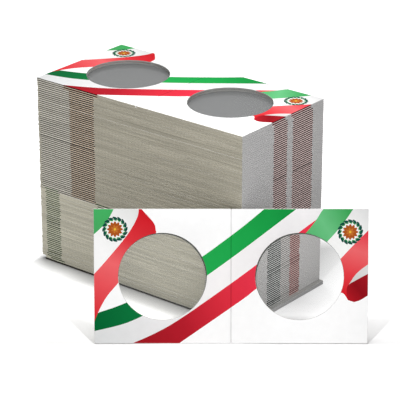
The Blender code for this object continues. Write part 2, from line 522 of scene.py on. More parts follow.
# %% [markdown]
# From here on a card is drawn in millimetres. Its windows are circles of straight sides, enough of
# them to look round close up. A point lies inside an outline when a ray from it crosses the outline
# an odd number of times, and numpy tests that for many points at once.

# %% Outlines and what lies inside them
WINDOW_SIDES = 96
HALF_SCORE = SCORE / 2 / MM
LEAF_MM = LEAF / MM
WINDOW_MM = WINDOW / MM
WINDOW_CENTRES = [(-LEAF_MM / 2, LEAF_MM / 2), (LEAF_MM / 2, LEAF_MM / 2)]


def circle(centre, radius, sides):
    angles = [2 * math.pi * i / sides for i in range(sides)]
    return [(centre[0] + radius * math.cos(a), centre[1] + radius * math.sin(a)) for a in angles]


def rectangle(low, high):
    return [(low[0], low[1]), (high[0], low[1]), (high[0], high[1]), (low[0], high[1])]


def inside(outline, points):
    """For each point, whether it lies inside the outline (crossing test)."""
    x, y = points[:, 0], points[:, 1]
    hit = np.zeros(len(points), bool)
    for (ax, ay), (bx, by) in zip(outline, outline[1:] + outline[:1]):
        if ay != by:
            crosses = (ay > y) != (by > y)
            hit ^= crosses & (x < (bx - ax) * (y - ay) / (by - ay) + ax)
    return hit


print("Windows are centred on", [tuple(round(x, 1) for x in centre) for centre in WINDOW_CENTRES])

# %% [markdown]
# A constrained triangulation turns those outlines into one flat face of the card: it keeps every
# outline as edges of the mesh, wherever they cross. Each triangle then takes the finish of the last
# shape that covers its middle. An image laid on the card would be simpler, but it blurs close up.
# Here the colours are parts of the surface and stay sharp at any size.

# %% Cut a flat face along the print
ALL_TRIANGLES = 0  # those outside the outlines too
MEET_WITHIN = 1e-5  # points nearer to each other than this become one


def finish_at(shapes, points):
    """The finish of the last shape over each point, as a position in the list of finishes."""
    names = list(finishes)
    found = np.zeros(len(points), int)
    for name, outline in shapes:
        found[inside(outline, points)] = names.index(name)
    return found


def cut_face(low, high, windows, shapes, lines=()):
    """Triangles of a rectangle with round windows, cut along the shapes and the extra lines."""
    outlines = [rectangle(low, high)] + windows + [outline for name, outline in shapes]
    points, edges = [], []
    for outline in outlines:
        start = len(points)
        points += [Vector(p) for p in outline]
        edges += [(start + i, start + (i + 1) % len(outline)) for i in range(len(outline))]
    for a, b in lines:
        edges.append((len(points), len(points) + 1))
        points += [Vector(a), Vector(b)]
    verts, _, faces, *_ = delaunay_2d_cdt(points, edges, [], ALL_TRIANGLES, MEET_WITHIN)
    at = np.array([tuple(v) for v in verts])
    middles = np.array([at[list(face)].mean(axis=0) for face in faces])
    kept = (middles > np.array(low)).all(axis=1) & (middles < np.array(high)).all(axis=1)
    for window in windows:
        kept &= ~inside(window, middles)
    slots = finish_at(shapes, middles)
    return at, [face for face, keep in zip(faces, kept) if keep], slots[kept]


def add_cut_face(bm, at, faces, slots, height):
    """Adds the triangles of a cut face to a mesh, each with its finish, at one height."""
    verts = {i: bm.verts.new((*at[i], height)) for i in sorted({i for face in faces for i in face})}
    for face, slot in zip(faces, slots):
        bm.faces.new([verts[i] for i in face]).material_index = int(slot)


print("Finishes that a face can take:", len(finishes))

# %% [markdown]
# Solid board is pressed from grey fibre between two white liners. On a cut edge the grey core shows,
# painted warm on the long sides and neutral on the short ones: painted light, for how each side faces
# the lamps. Where the ribbon runs off the card, the knife draws its ink over the upper part of the
# edge: there the pile's sides carry one fine line on each card. Now and then a line is drawn wider, or
# a gap between cards is painted darker as painted shade.

# %% Cut edges
PITCH = (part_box("upper_holders_02")[0].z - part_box("upper_holders_01")[0].z) / 2
FIBRES = Vector((700.0, 700.0, 2600.0))  # per metre
STREAK_RATE = 30.0  # per metre
LANE_STEP = 3.7  # far enough in the noise that each card's streaks are its own
WIDE_LINES = 0.05  # share of the cards with a wider ink line
WIDE_LINE_GAIN = 0.12  # of the card's thickness
RAGGED = 0.03  # unevenness of the ink line's edge, as a share of the card
# painted shade: the gap above some of the piled cards is painted darker
SHADED_GAPS = 0.07  # share of the cards with a dark gap above them
GAP_SHADE = 0.2
GAP_SHARE = 0.3  # of the card's thickness
GAP_DRAW = 0.37  # draws the dark gaps apart from the wide lines


def chance_by(tree, number):
    """A random value from 0 to 1 that is the same wherever the number is the same."""
    return add_node(tree, "ShaderNodeTexWhiteNoise", {"W": number}, noise_dimensions="1D").outputs["Value"]


def edge_shade(tree, parts, card, up, fibre, spread, streaks):
    """How light the core is: by card, in streaks along each card, with painted gap shade and by fibre."""
    run = [math_node(tree, "MULTIPLY", parts[axis], STREAK_RATE) for axis in "XY"]
    run.append(math_node(tree, "MULTIPLY", card, LANE_STEP))
    lane = add_node(tree, "ShaderNodeCombineXYZ", dict(enumerate(run))).outputs["Vector"]
    streak = vary(tree, noise(tree, lane, 1.0, 1.0), -streaks, streaks, width=0.15)
    by_card = span(tree, chance_by(tree, card), 0, 1, 1 - spread, 1 + spread)
    by_fibre = vary(tree, fibre, -0.01, 0.01, width=0.25)
    # painted shade in the gap above a few cards
    at_gap = math_node(tree, "GREATER_THAN", up, 1 - GAP_SHARE)
    gap_chance = chance_by(tree, math_node(tree, "ADD", card, GAP_DRAW))
    dark = math_node(tree, "MULTIPLY", at_gap, math_node(tree, "LESS_THAN", gap_chance, SHADED_GAPS))
    lit = math_node(tree, "MULTIPLY_ADD", dark, -GAP_SHADE if streaks else 0.0, by_card)
    return math_node(tree, "ADD", lit, math_node(tree, "ADD", streak, by_fibre))


def ink_line(tree, card, up, fibre, cover):
    """1 on the ink at the top of each card's edge and 0 on the bare core below it."""
    ragged = math_node(tree, "ADD", up, vary(tree, fibre, -RAGGED, RAGGED))
    wide = math_node(tree, "LESS_THAN", chance_by(tree, card), WIDE_LINES)
    reach = math_node(tree, "MULTIPLY_ADD", wide, WIDE_LINE_GAIN, ragged)
    return span(tree, reach, 1 - cover - RAGGED, 1 - cover + RAGGED, 0.0, 1.0)


print(f"Cards are {PITCH / MM:.3f} mm apart")

# %% [markdown]
# The pile's long side is streaked and uneven from card to card, and its end is smoother. One
# function makes both, with or without an ink line, and a table of colours lists every kind of edge.
# The colours differ from side to side, because each side faces the light in its own way.

# %% Finishes for cut edges
EDGE_GLOSS = 0.2
# side: (spread from card to card, depth of the streaks)
SIDES = {"long": (0.045, 0.1), "low": (0.045, 0.1), "short": (0.006, 0.0)}


def edge_finish(name, side, base, ink=None, cover=0.5):
    """A cut edge on the long or the short side. With ink, a line of that colour lies on each card."""
    spread, streaks = SIDES[side]
    material, tree, shader = new_material(name, 0.8)
    place = add_node(tree, "ShaderNodeTexCoord").outputs["Object"]
    parts = add_node(tree, "ShaderNodeSeparateXYZ", {0: place}).outputs
    layer = math_node(tree, "DIVIDE", parts["Z"], PITCH)
    card = math_node(tree, "FLOOR", layer)
    up = math_node(tree, "FRACT", layer)
    fibre = noise(tree, vector_node(tree, "MULTIPLY", place, FIBRES), 1.0, 3.0)
    shown = colour(*base)[:3]
    if ink:
        shown = mix_colours(tree, ink_line(tree, card, up, fibre, cover), colour(*base), colour(*ink))
    shade = edge_shade(tree, parts, card, up, fibre, spread, streaks)
    tree.links.new(tint(tree, shown, shade), shader.inputs["Base Color"])
    tree.links.new(vary(tree, fibre, 0.72, 0.88), shader.inputs["Roughness"])
    shader.inputs["Specular IOR Level"].default_value = EDGE_GLOSS
    bump(tree, shader, fibre, 0.03 * MM, 0.3 if streaks else 0.1)
    return material


# finish: (side, core, ink, share covered by ink). The lower pile's edges are a little lighter, as painted
# light: the floor's bounce on its long side, and its end lit as if the leaning card cast no shadow there.
# low is its long side and end its short side.
EDGES = {
    "edge_long": ("long", (174, 169, 153)),
    "edge_long_red": ("long", (234, 213, 188), (12, 3, 0), 0.61),
    "edge_long_green": ("long", (217, 215, 197), (41, 49, 30), 0.5),
    "edge_long_grey": ("long", (225, 220, 207), (76, 74, 68), 0.5),
    "edge_low": ("low", (197, 193, 176)),
    "edge_low_green": ("low", (208, 209, 186), (44, 54, 34), 0.5),
    "edge_short": ("short", (191, 190, 190)),
    "edge_short_red": ("short", (254, 226, 222), (16, 0, 0), 0.59),
    "edge_short_green": ("short", (238, 242, 238), (0, 4, 0), 0.59),
    "edge_short_grey": ("short", (228, 226, 224), (126, 121, 117), 0.5),
    "edge_end": ("short", (212, 210, 209)),
    "edge_end_red": ("short", (255, 216, 209), (88, 0, 0), 0.6),
    "edge_end_green": ("short", (252, 255, 252), (0, 4, 0), 0.62),
    "edge_end_grey": ("short", (238, 235, 233), (130, 125, 121), 0.5),
    # painted shadow: the lowest card's long sides, dark as the contact shadow at the pile's foot
    "edge_dark": ("long", (64, 61, 54)),
    "edge_pale": ("short", (214, 213, 211)),
}
edge_finishes = {name: edge_finish(name, *values) for name, values in EDGES.items()}
print("Finishes for cut edges:", len(edge_finishes))

# %% [markdown]
# The back of a card is bare white liner, less smooth than the print. A window's wall is a knife cut
# through the board, with painted shade and light: painted dark on the leaning card, and painted lit on
# the printed cards that lie flat. The lowest two cards stick out at the right with a grey upper face.
# The film of a card inside the pile looks grey, because dozens of other films lie behind it.

# %% Liner, window wall, grey board and film in the pile
LINER_GRAIN = 1400.0  # per metre
KNIFE_GRAIN = 2600.0  # of a window's wall
FILM_GREY = colour(99, 100, 100)[:3]
FILM_STREAKS = (14, 60, 14)  # per metre
FILM_GLOSS = 0.2


def liner_finish(name, base, grain):
    material, tree, shader = new_material(name, 0.6)
    place = add_node(tree, "ShaderNodeTexCoord").outputs["Object"]
    fibre = noise(tree, place, grain, 4.0, 0.6)
    shade = vary(tree, fibre, 0.96, 1.03, width=0.25)
    tree.links.new(tint(tree, colour(*base)[:3], shade), shader.inputs["Base Color"])
    tree.links.new(vary(tree, fibre, 0.52, 0.68), shader.inputs["Roughness"])
    shader.inputs["Specular IOR Level"].default_value = EDGE_GLOSS
    bump(tree, shader, fibre, 0.02 * MM, 0.4)
    return material


def piled_film_finish():
    material, tree, shader = new_material("piled_film", 0.22)
    place = add_node(tree, "ShaderNodeTexCoord").outputs["Object"]
    streak = noise(tree, vector_node(tree, "MULTIPLY", place, FILM_STREAKS), 1.0, 1.0)
    shade = vary(tree, streak, 0.95, 1.06)
    tree.links.new(tint(tree, FILM_GREY, shade), shader.inputs["Base Color"])
    tree.links.new(vary(tree, streak, 0.2, 0.28), shader.inputs["Roughness"])
    shader.inputs["Specular IOR Level"].default_value = FILM_GLOSS
    bump(tree, shader, streak, 0.05 * MM, 0.15)
    return material


other_finishes = {
    "face_white": liner_finish("face_white", (243, 242, 239), LINER_GRAIN),
    "face_grey": liner_finish("face_grey", (150, 149, 146), LINER_GRAIN),
    # one knife-cut wall in two painted copies: painted shade, and painted light for flat cards
    "window_wall": liner_finish("window_wall", (96, 94, 90), KNIFE_GRAIN),
    "window_lit": liner_finish("window_lit", (160, 159, 156), KNIFE_GRAIN),
    "piled_film": piled_film_finish(),
}
ALL_FINISHES = {**finishes, **edge_finishes, **other_finishes}
SLOTS = list(ALL_FINISHES)
print("Finishes in all:", len(SLOTS))

# %% [markdown]
# A wall takes its ink from the triangle that it hangs from, so the coloured marks start exactly where
# the print ends. At the score the board is pressed and not cut, so there the print runs down the
# wall. The leaning card's outer edges are pale, as are its windows' walls where they face up to the
# light: painted light there, and painted shade on the rest of those walls.

# %% The finish of each wall
EDGE_SOFT = 0.1  # the rounding of a card's rim
INKS = {
    "red": ("left_red", "bottom_red", "right_red", "dark_red"),
    "green": ("corner_green", "dark_green", "middle_green", "curl_green"),
    "grey": ("pale_band",),
}
INK_OF = {name: ink for ink, names in INKS.items() for name in names}


def wall_slot(face_slot, middle, normal, edge):
    """The finish of the wall under an edge of the face, where edge names one for all outer walls."""
    # a window's wall: painted light where it faces up or lies flat, painted shade elsewhere
    if any(math.dist(middle, c) < WINDOW_MM + 2 * EDGE_SOFT for c in WINDOW_CENTRES):
        if not edge:
            return SLOTS.index("window_lit")
        return SLOTS.index(edge if middle.y < LEAF_MM / 2 else "window_wall")
    if abs(middle.x) < HALF_SCORE + 2 * EDGE_SOFT and abs(normal.x) > abs(normal.y):
        return face_slot
    if edge:
        return SLOTS.index(edge)
    side = "long" if abs(normal.y) > abs(normal.x) else "short"
    ink = INK_OF.get(SLOTS[face_slot])
    return SLOTS.index(f"edge_{side}_{ink}" if ink else f"edge_{side}")


print("Printed colours that mark an edge:", len(INK_OF))

# %% [markdown]
# A card is built from its printed face. The face's outer edge and the windows' edges are drawn out
# ring by ring: over a small rounding, down the wall and back in at the underside. A bevel could do
# that too, but it would disturb the print at the rim. The edge that the leaning card stands on is
# worn rounder than the others.

# %% The rounded rim
ROUND_STEPS = 4
ON_EDGE = 1e-3  # a point nearer to an edge than this lies on it


def push_out(co, low, high, by_x, by_y):
    """Moves a point of the face's rim outwards: away from the card's middle or into the window."""
    for centre in WINDOW_CENTRES:
        away = Vector((co.x - centre[0], co.y - centre[1]))
        if away.length < WINDOW_MM + 2 * EDGE_SOFT:
            away = away.normalized() * (WINDOW_MM + EDGE_SOFT - by_x)
            return centre[0] + away.x, centre[1] + away.y
    x, y = co.x, co.y
    if abs(x - low[0]) < ON_EDGE:
        x = low[0] - by_x
    elif abs(x - high[0]) < ON_EDGE:
        x = high[0] + by_x
    if abs(y - low[1]) < ON_EDGE:
        y = low[1] - by_y
    elif abs(y - high[1]) < ON_EDGE:
        y = high[1] + by_x
    return x, y


def rim_rings():
    """(is it on the front, share outwards, share down) of each ring, from the face to the underside."""
    angles = [math.pi / 2 * (i + 1) / ROUND_STEPS for i in range(ROUND_STEPS)]
    turns = [(math.sin(a), 1 - math.cos(a)) for a in angles]
    front = [(True, *turn) for turn in turns]
    back = [(False, *turn) for turn in reversed(turns)]
    return front + back + [(False, 0.0, 0.0)]


def rim_point(co, low, high, foot, ring):
    """Where a point of the face's rim lies in one of the rings. Foot is the lower edge's rounding."""
    on_front, out, down = ring
    soft = foot if abs(co.y - low[1]) < ON_EDGE else EDGE_SOFT
    if on_front:
        return (*push_out(co, low, high, EDGE_SOFT * out, soft * out), BOARD_FRONT / MM - soft * down)
    reach = soft - EDGE_SOFT * (1 - out)
    return (*push_out(co, low, high, EDGE_SOFT * out, reach), BOARD_BACK / MM + EDGE_SOFT * down)


print("Rings on a card's rim:", len(rim_rings()))

# %% [markdown]
# The rings are joined by strips of wall. The first strip is still printed, because the ink runs over
# the rounding, and the underside is filled with bare liner.

# %% Close a card
PRINTED_STEPS = 1


def fill_face(bm, edges, facing):
    """Fills a flat face of the card between its rims with plain white liner."""
    made = bmesh.ops.triangle_fill(bm, use_beauty=True, edges=edges, normal=(0, 0, facing))["geom"]
    for item in made:
        if isinstance(item, bmesh.types.BMFace):
            item.material_index = SLOTS.index("face_white")


def close_card(bm, low, high, foot, outer):
    """Draws the open rim of the printed face down and fills the underside."""
    loop = [edge for edge in bm.edges if edge.is_boundary]
    rest = {edge: edge.link_faces[0].material_index for edge in loop}
    start = {vert: vert.co.copy() for edge in loop for vert in edge.verts}
    rings = [dict(zip(start, start))]
    for ring in rim_rings():
        rings.append({v: bm.verts.new(rim_point(co, low, high, foot, ring)) for v, co in start.items()})
    for edge in loop:
        a, b = edge.verts
        normal = Vector((b.co.y - a.co.y, a.co.x - b.co.x))
        slot = wall_slot(rest[edge], ((start[a] + start[b]) / 2).xy, normal, outer)
        for i, (upper, lower) in enumerate(zip(rings, rings[1:])):
            face = bm.faces.new((upper[a], upper[b], lower[b], lower[a]))
            face.material_index = rest[edge] if i < PRINTED_STEPS else slot
    last = [bm.edges.get((rings[-1][e.verts[0]], rings[-1][e.verts[1]])) for e in loop]
    fill_face(bm, last, -1)


print("Strips of wall that stay printed:", PRINTED_STEPS)

# %% [markdown]
# Each finished card keeps its points' places for the shading of the print, in a mesh of metres. Its
# faces are shaded smooth, and edges sharper than a set angle stay crisp.

# %% Finish a mesh
SMOOTH_UP_TO = math.radians(35)


def to_mesh(bm, name):
    mesh = bpy.data.meshes.new(name)
    bm.to_mesh(mesh)
    bm.free()
    return mesh


def store_places(mesh, places):
    """Keeps each point's place on the card, in millimetres, and returns the places."""
    found = np.array([tuple(place) for place in places], np.float32)
    mesh.attributes.new(INK_PLACE, "FLOAT_VECTOR", "POINT").data.foreach_set("vector", found.ravel())
    return found


def smooth(mesh):
    mesh.shade_smooth()
    mesh.set_sharp_from_angle(angle=SMOOTH_UP_TO)


def finish_card(bm, name):
    """A mesh in metres, with each point's place on the card and how deep it lies in the score."""
    bmesh.ops.recalc_face_normals(bm, faces=bm.faces)
    mesh = to_mesh(bm, name)
    used = sorted({face.material_index for face in mesh.polygons})
    for slot in used:
        mesh.materials.append(ALL_FINISHES[SLOTS[slot]])
    for face in mesh.polygons:
        face.material_index = used.index(face.material_index)
    places = store_places(mesh, [v.co for v in mesh.vertices])
    crease = np.clip(2 - 2 * np.abs(places[:, 0]) / HALF_SCORE, 0, 1)
    mesh.attributes.new(CREASE, "FLOAT", "POINT").data.foreach_set("value", crease)
    mesh.transform(Matrix.Scale(MM, 4))
    smooth(mesh)
    return mesh


def add_piece(name, mesh, place=Matrix.Identity(4)):
    piece = bpy.data.objects.new(name, mesh)
    bpy.context.scene.collection.objects.link(piece)
    piece.matrix_world = place
    return piece


print("Smooth up to", round(math.degrees(SMOOTH_UP_TO)), "degrees")

# %% [markdown]
# All of this together prints one card of any size: a single board of an open holder, or a whole
# closed card of the pile, which has its film in the same mesh.

# %% Print a card
def add_film_sheet(bm):
    """The film behind a card of the pile: a thin sheet under both windows."""
    margin = FILM_MARGIN / MM
    verts = bmesh.ops.create_cube(bm, size=1)["verts"]
    for vert in verts:
        vert.co.x = math.copysign(LEAF_MM - margin, vert.co.x)
        vert.co.y = margin if vert.co.y < 0 else LEAF_MM - margin
        vert.co.z = 0 if vert.co.z < 0 else FILM / MM
    for face in {face for vert in verts for face in vert.link_faces}:
        face.material_index = SLOTS.index("piled_film")


def print_card(name, low, high, centres, shapes, foot=EDGE_SOFT, outer=None, lines=(), film=False):
    """A board between two corners, printed with the shapes. Sizes are in millimetres."""
    soft_low = (low[0] + EDGE_SOFT, low[1] + foot)
    soft_high = (high[0] - EDGE_SOFT, high[1] - EDGE_SOFT)
    windows = [circle(c, WINDOW_MM + EDGE_SOFT, WINDOW_SIDES) for c in centres]
    bm = bmesh.new()
    add_cut_face(bm, *cut_face(soft_low, soft_high, windows, shapes, lines), BOARD_FRONT / MM)
    close_card(bm, soft_low, soft_high, foot, outer)
    if film:
        add_film_sheet(bm)
    return finish_card(bm, name)


print("A card's film stops", round(FILM_MARGIN / MM, 1), "mm short of its edges")

# %% [markdown]
# The two open holders each have a left and a right board, with the score between them. Each board
# stands for its plain solid in the frame and moves with its own body.

# %% The four printed boards
FOOT_SOFT = 0.35  # the rounding of the edge that the leaning card stands on


def add_boards(holder, place, foot, outer):
    spans = {"left": (-LEAF_MM, -HALF_SCORE), "right": (HALF_SCORE, LEAF_MM)}
    for (leaf, (left, right)), centre in zip(spans.items(), WINDOW_CENTRES):
        name = f"{holder}_{leaf}_board"
        mesh = print_card(name + "_print", (left, 0), (right, LEAF_MM), [centre], RIBBON_PRINT, foot, outer)
        board = add_piece(name + "_printed", mesh, place)
        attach(board, f"{holder}_{leaf}")
        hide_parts(name)
        print(board.name, "has", len(mesh.polygons), "faces and", len(mesh.materials), "finishes")


add_boards("top_holder", top_place, EDGE_SOFT, None)
add_boards("front_holder", front_place, FOOT_SOFT, "edge_pale")

# %% [markdown]
# The card isn't cut through at the score: a strip of liner is left between the two boards, and it is
# what the card folds on. It is printed like the rest. Here it is a thin strip with extra lines along
# it, so that it can roll round the fold.

# %% The score strips
SCORE_LINES = 8
SCORE_DEPTH = 0.04  # the strip lies this far below the print
STRIP_END = 0.3  # the strip stops this far inside the boards' ends
BEYOND = 1  # a line that cuts the whole face runs this far past it


def strip_mesh(name):
    low, high = (-HALF_SCORE, STRIP_END), (HALF_SCORE, LEAF_MM - STRIP_END)
    places = [-HALF_SCORE + 2 * HALF_SCORE * i / SCORE_LINES for i in range(1, SCORE_LINES)]
    lines = [((x, low[1] - BEYOND), (x, high[1] + BEYOND)) for x in places]
    bm = bmesh.new()
    add_cut_face(bm, *cut_face(low, high, [], RIBBON_PRINT, lines), BOARD_FRONT / MM - SCORE_DEPTH)
    made = bmesh.ops.extrude_face_region(bm, geom=bm.faces[:])["geom"]
    for item in made:
        if isinstance(item, bmesh.types.BMVert):
            item.co.z = BOARD_BACK / MM
    return finish_card(bm, name)


def add_strip(holder, place):
    strip = add_piece(holder + "_score_strip", strip_mesh(holder + "_strip"), place)
    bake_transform(strip)
    print(strip.name, "has", len(strip.data.polygons), "faces")


add_strip("top_holder", top_place)
add_strip("front_holder", front_place)

# %% [markdown]
# One clear polyester film is bonded over the whole back of each card, a little short of its edges.
# It could be glass with refraction, but a film this thin only adds a faint gloss, so it is a nearly
# clear surface. Along the windows' rims, on the side of the score and the top, a thin dark crescent
# is painted into the film's colour and clearness: a painted shadow of the rim. Two circles a little
# apart give that crescent its shape.

# %% The clear film's finish
FILM_CLEAR = colour(236, 240, 241)
FILM_HAZE = 0.025  # how much of the film's own colour shows
RIPPLE = 90.0  # per metre
# the painted shadow of each window's rim: its colour, darkness on each holder, offset and softness
RIM_SHADOW_DARK = colour(70, 73, 64)
RIM_SHADOW_DARKNESS = {"top_holder": 0.1, "front_holder": 0.75}
RIM_SHADOW_SHIFT = (0.4, -0.55)  # from the window's middle to the second circle's
RIM_SHADOW_SOFT = 0.12


def rim_shadow_mask(tree, place):
    """1 on each window's painted rim shadow: a thin dark crescent on the score's side and the top."""
    mirrored = vector_node(tree, "ABSOLUTE", place)
    x, y = WINDOW_CENTRES[1]
    from_middle = vector_node(tree, "DISTANCE", mirrored, (x, y, 0))
    from_shifted = vector_node(tree, "DISTANCE", mirrored, (x + RIM_SHADOW_SHIFT[0], y + RIM_SHADOW_SHIFT[1], 0))
    under_rim = math_node(tree, "LESS_THAN", from_middle, WINDOW_MM + 2 * EDGE_SOFT)
    crescent = span(tree, from_shifted, WINDOW_MM - RIM_SHADOW_SOFT, WINDOW_MM + RIM_SHADOW_SOFT, 0.0, 1.0)
    return math_node(tree, "MULTIPLY", under_rim, crescent)


def film_finish(name, darkness):
    material, tree, shader = new_material(name, 0.06)
    place = add_node(tree, "ShaderNodeAttribute", attribute_name=INK_PLACE).outputs["Vector"]
    ripple = noise(tree, place, RIPPLE * MM, 2.0)
    rim_shadow = rim_shadow_mask(tree, place)
    tree.links.new(mix_colours(tree, rim_shadow, FILM_CLEAR, RIM_SHADOW_DARK), shader.inputs["Base Color"])
    tree.links.new(span(tree, rim_shadow, 0, 1, FILM_HAZE, darkness), shader.inputs["Alpha"])
    tree.links.new(vary(tree, ripple, 0.04, 0.12), shader.inputs["Roughness"])
    bump(tree, shader, ripple, 0.1 * MM, 0.2)
    return material


print("Film shows", FILM_HAZE, "of its own colour")

# %% [markdown]
# It is one sheet with rows of points across the score, so that it can bend there as the strip can.

# %% The clear films
FILM_FOLD_ROWS = 8


def film_mesh(name, material):
    """A thin sheet with rows of points across the score, from end to end of the card."""
    half = SCORE / 2
    end = LEAF - FILM_MARGIN
    rows = [-end] + [-half + 2 * half * i / FILM_FOLD_ROWS for i in range(FILM_FOLD_ROWS + 1)] + [end]
    bm = bmesh.new()
    low, high = FILM_MARGIN, LEAF - FILM_MARGIN
    corners = ((low, 0), (high, 0), (high, FILM), (low, FILM))
    rings = [[bm.verts.new((x, y, z)) for y, z in corners] for x in rows]
    for a, b in zip(rings, rings[1:]):
        for i in range(len(corners)):
            bm.faces.new((a[i], a[i - 1], b[i - 1], b[i]))
    bm.faces.new(rings[0])
    bm.faces.new(rings[-1])
    bmesh.ops.recalc_face_normals(bm, faces=bm.faces)
    mesh = to_mesh(bm, name)
    mesh.materials.append(material)
    store_places(mesh, [v.co / MM for v in mesh.vertices])
    return mesh


def add_film(holder, place):
    material = film_finish(holder + "_film", RIM_SHADOW_DARKNESS[holder])
    film = add_piece(holder + "_clear_film", film_mesh(holder + "_film_sheet", material), place)
    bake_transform(film)
    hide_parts(f"{holder}_left_film", f"{holder}_right_film")
    print(film.name, "has", len(film.data.polygons), "faces")


add_film("top_holder", top_place)
add_film("front_holder", front_place)

# %% [markdown]
# Every other holder of the pile is a closed card of its own, with its two windows and its film. One
# template is drawn for each of the two piles and copied. Only a card's edges show, so the template
# carries the ink marks of the photograph's pile on its walls and leaves its faces plain.

# %% The marks on a piled card's sides
# side: [(from, to, ink)], in millimetres along the side
UPPER_MARKS = {
    "front": [(-49.8, -34.0, "grey"), (-34.0, -21.4, "red")],
    "right": [(19.3, 27.7, "red"), (31.2, 43.9, "red")],
    "back": [(-50.2, -43.3, "green"), (-34.6, -30.8, "red"), (12.1, 24.0, "green"), (34.0, 45.0, "green")],
    "left": [(0.6, 4.8, "grey"), (4.8, 11.5, "green"), (12.4, 26.3, "red"), (41.2, 50.2, "green")],
}
LOWER_MARKS = {
    "front": [(-47.9, -40.4, "green"), (-20.6, -12.8, "green")],
    "right": [(16.2, 24.7, "green"), (24.7, 30.6, "grey"), (30.6, 36.9, "red")],
    "back": [],
    "left": [(6.6, 11.6, "green"), (11.6, 19.6, "grey"), (19.6, 26.0, "red")],
}


def edge_outline(marks, kinds):
    """The card's outline with a point at each end of a mark: [[point, finish, axis or None]]."""
    outline = []
    corners = rectangle((-LEAF_MM, 0), (LEAF_MM, LEAF_MM))
    sides = ("front", "right", "back", "left")
    for side, corner, axis, kind in zip(sides, corners, (0, 1, 0, 1), kinds * 2):
        outline.append([corner, f"edge_{kind}", None])
        runs = marks[side]
        if side in ("back", "left"):
            runs = [(to, start, ink) for start, to, ink in reversed(runs)]
        for start, to, ink in runs:
            for at, name in ((start, f"edge_{kind}_{ink}"), (to, f"edge_{kind}")):
                point = (at, corner[1]) if axis == 0 else (corner[0], at)
                if outline[-1][0] == point:
                    outline[-1][1] = name
                else:
                    outline.append([point, name, axis])
    return outline


print("Marks on a side:", {side: len(marks) for side, marks in UPPER_MARKS.items()})

# %% [markdown]
# The walls of a piled card are three bands: two narrow ones that soften its rims and a tall one in
# between. Each band is parted where a mark starts or ends, and each window has a wall of its own.

# %% The template of a piled card
PILE_WINDOW_SIDES = 48
PILE_SOFT = 0.04  # the rounding of a piled card's rims


def wall_bands(bm, outline):
    """The outer wall between two softened rims. Returns its rings of points from top to bottom."""
    top, bottom = BOARD_FRONT / MM, BOARD_BACK / MM
    levels = ((PILE_SOFT, top), (0, top - PILE_SOFT), (0, bottom + PILE_SOFT), (PILE_SOFT, bottom))
    rings = []
    for inset, z in levels:
        ring = []
        for (x, y), _, _ in outline:
            held = (max(inset - LEAF_MM, min(LEAF_MM - inset, x)), max(inset, min(LEAF_MM - inset, y)))
            ring.append(bm.verts.new((*held, z)))
        rings.append(ring)
    for upper, lower in zip(rings, rings[1:]):
        for i, (_, name, _) in enumerate(outline):
            j = (i + 1) % len(outline)
            bm.faces.new((upper[j], upper[i], lower[i], lower[j])).material_index = SLOTS.index(name)
    return rings


def window_wells(bm):
    """The walls of both windows. Returns (upper rim, lower rim) of each."""
    wells = []
    for centre in WINDOW_CENTRES:
        rim = circle(centre, WINDOW_MM, PILE_WINDOW_SIDES)
        upper, lower = ([bm.verts.new((x, y, z / MM)) for x, y in rim] for z in (BOARD_FRONT, BOARD_BACK))
        for i in range(PILE_WINDOW_SIDES):
            wall = bm.faces.new((upper[i - 1], upper[i], lower[i], lower[i - 1]))
            wall.material_index = SLOTS.index("window_wall")
        wells.append((upper, lower))
    return wells


def template(marks, kinds):
    """One piled card: points, faces, finishes, and the rings of points at each mark with their axis."""
    outline = edge_outline(marks, kinds)
    bm = bmesh.new()
    rings = wall_bands(bm, outline)
    wells = window_wells(bm)
    for which, ring, facing in ((0, rings[0], 1), (1, rings[-1], -1)):
        rims = [ring] + [well[which] for well in wells]
        ends = [(rim[i - 1], rim[i]) for rim in rims for i in range(len(rim))]
        fill_face(bm, [bm.edges.get(pair) or bm.edges.new(pair) for pair in ends], facing)
    add_film_sheet(bm)
    bmesh.ops.recalc_face_normals(bm, faces=bm.faces)
    bm.verts.index_update()
    points = np.array([tuple(v.co) for v in bm.verts])
    faces = [[v.index for v in f.verts] for f in bm.faces]
    slots = [SLOTS[f.material_index] for f in bm.faces]
    played = [([ring[i].index for ring in rings], item[2])
              for i, item in enumerate(outline) if item[2] is not None]
    bm.free()
    return points, faces, slots, played


def recoloured(shape, changes):
    """The same card with some of its finishes changed."""
    points, faces, slots, played = shape
    return points, faces, [changes.get(name, name) for name in slots], played


upper_template = template(UPPER_MARKS, ("long", "short"))
lower_template = template(LOWER_MARKS, ("low", "end"))
plain_ends = {name: "edge_short" for name in EDGES if name.startswith("edge_end")}
# the lowest card's long sides carry the painted contact shadow along the pile's foot
foot_shadow_sides = {"edge_low": "edge_dark", "edge_low_green": "edge_dark"}
lowest_template = recoloured(lower_template, {**plain_ends, **foot_shadow_sides})
ledge_template = recoloured(lower_template, {**plain_ends, "face_white": "face_grey"})
print("A piled card has", len(upper_template[1]), "faces and", len(upper_template[3]), "marks on its edges")

# %% [markdown]
# The frame holds the pile as pairs of cards. Here two pairs at a time become one piece of four cards,
# which keeps the number of pieces small while every card stays a closed body of its own. Cards in a
# pile never lie quite square: each is pushed a little by seeded chance and kept back from the front
# corner where the leaning card rests. They are knocked up flush at the right end, so their left ends
# are ragged. The lowest pair sticks out at the right, as its solid in the frame does.

# %% Push the cards and join them
PUSH_Y = (-0.03, 0.12)  # forwards and back
LEFT_END = (-0.06, 0.3)  # out and in at the left end
MARK_PLAY = 0.3  # of each end of an ink mark, either way


def pushed_card(shape, chance, base_x, base_z):
    """The points of one card of the pile, pushed a little, in millimetres in the row frame."""
    moved = shape[0].copy()
    for ring, axis in shape[3]:
        moved[ring, axis] += chance.uniform(-MARK_PLAY, MARK_PLAY)
    moved[moved[:, 0] < -LEAF_MM + 2 * PILE_SOFT, 0] += chance.uniform(*LEFT_END)
    moved[:, 0] += base_x
    moved[:, 1] += chance.uniform(*PUSH_Y) - LEAF_MM / 2
    moved[:, 2] += base_z
    return moved


